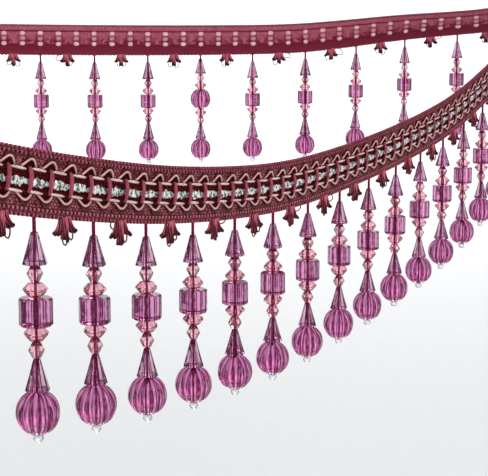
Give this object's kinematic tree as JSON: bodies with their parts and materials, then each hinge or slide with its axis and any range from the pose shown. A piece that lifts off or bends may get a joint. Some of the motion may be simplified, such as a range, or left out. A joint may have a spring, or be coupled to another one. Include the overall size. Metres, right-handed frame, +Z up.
{
  "type": "beaded fringe trim",
  "caption": "Woven gimp trim heading looped back on itself, with faceted bead drops and yarn tufts hanging along its lower edge.",
  "frame": {"origin": "middle of the heading's top edge at its highest point, in the turn between the two runs, where the hung length is held", "axes": "+Z up; +Y the way the front run leads towards the turn, away from a viewer of its face; +X to that viewer's right, so that the back run leads off towards -X"},
  "size_m": [0.4753, 0.8072, 0.1809],
  "materials": {
    "heading_yarn": "burgundy and mauve viscose braid, close woven",
    "gimp_satin": "rose satin-covered gimp",
    "tinsel_foil": "crinkled bright silver tinsel",
    "tuft_yarn": "rose satin yarn locks with dark cut ends",
    "purple_bead": "clear purple acrylic, polished",
    "pink_bead": "clear pale pink acrylic, polished",
    "clear_stopper": "clear acrylic stopper bead",
    "bead_string": "dark maroon twisted string"
  },
  "bodies": {
    "root": {"heading_band": "heading_yarn", "gimp_ladder": "gimp_satin", "tinsel_cord": "tinsel_foil", "tuft_strip": "tuft_yarn", "bead_drop_00": "purple_bead", "bead_drop_01": "purple_bead", "bead_drop_02": "purple_bead", "bead_drop_03": "purple_bead", "bead_drop_04": "purple_bead", "bead_drop_05": "purple_bead", "bead_drop_06": "purple_bead", "bead_drop_07": "purple_bead", "bead_drop_08": "purple_bead", "bead_drop_09": "purple_bead", "bead_drop_10": "purple_bead", "bead_drop_11": "purple_bead", "bead_drop_12": "purple_bead", "bead_drop_13": "purple_bead", "bead_drop_14": "purple_bead", "bead_drop_15": "purple_bead", "bead_drop_16": "purple_bead", "bead_drop_17": "purple_bead", "bead_drop_18": "purple_bead", "bead_drop_19": "purple_bead", "bead_drop_20": "purple_bead", "bead_drop_21": "purple_bead", "bead_drop_22": "purple_bead", "bead_drop_23": "purple_bead", "bead_drop_24": "purple_bead", "bead_drop_25": "purple_bead", "bead_drop_26": "purple_bead", "bead_drop_27": "purple_bead", "bead_drop_28": "purple_bead", "bead_drop_29": "purple_bead", "bead_drop_30": "purple_bead"}
  },
  "joints": []
}
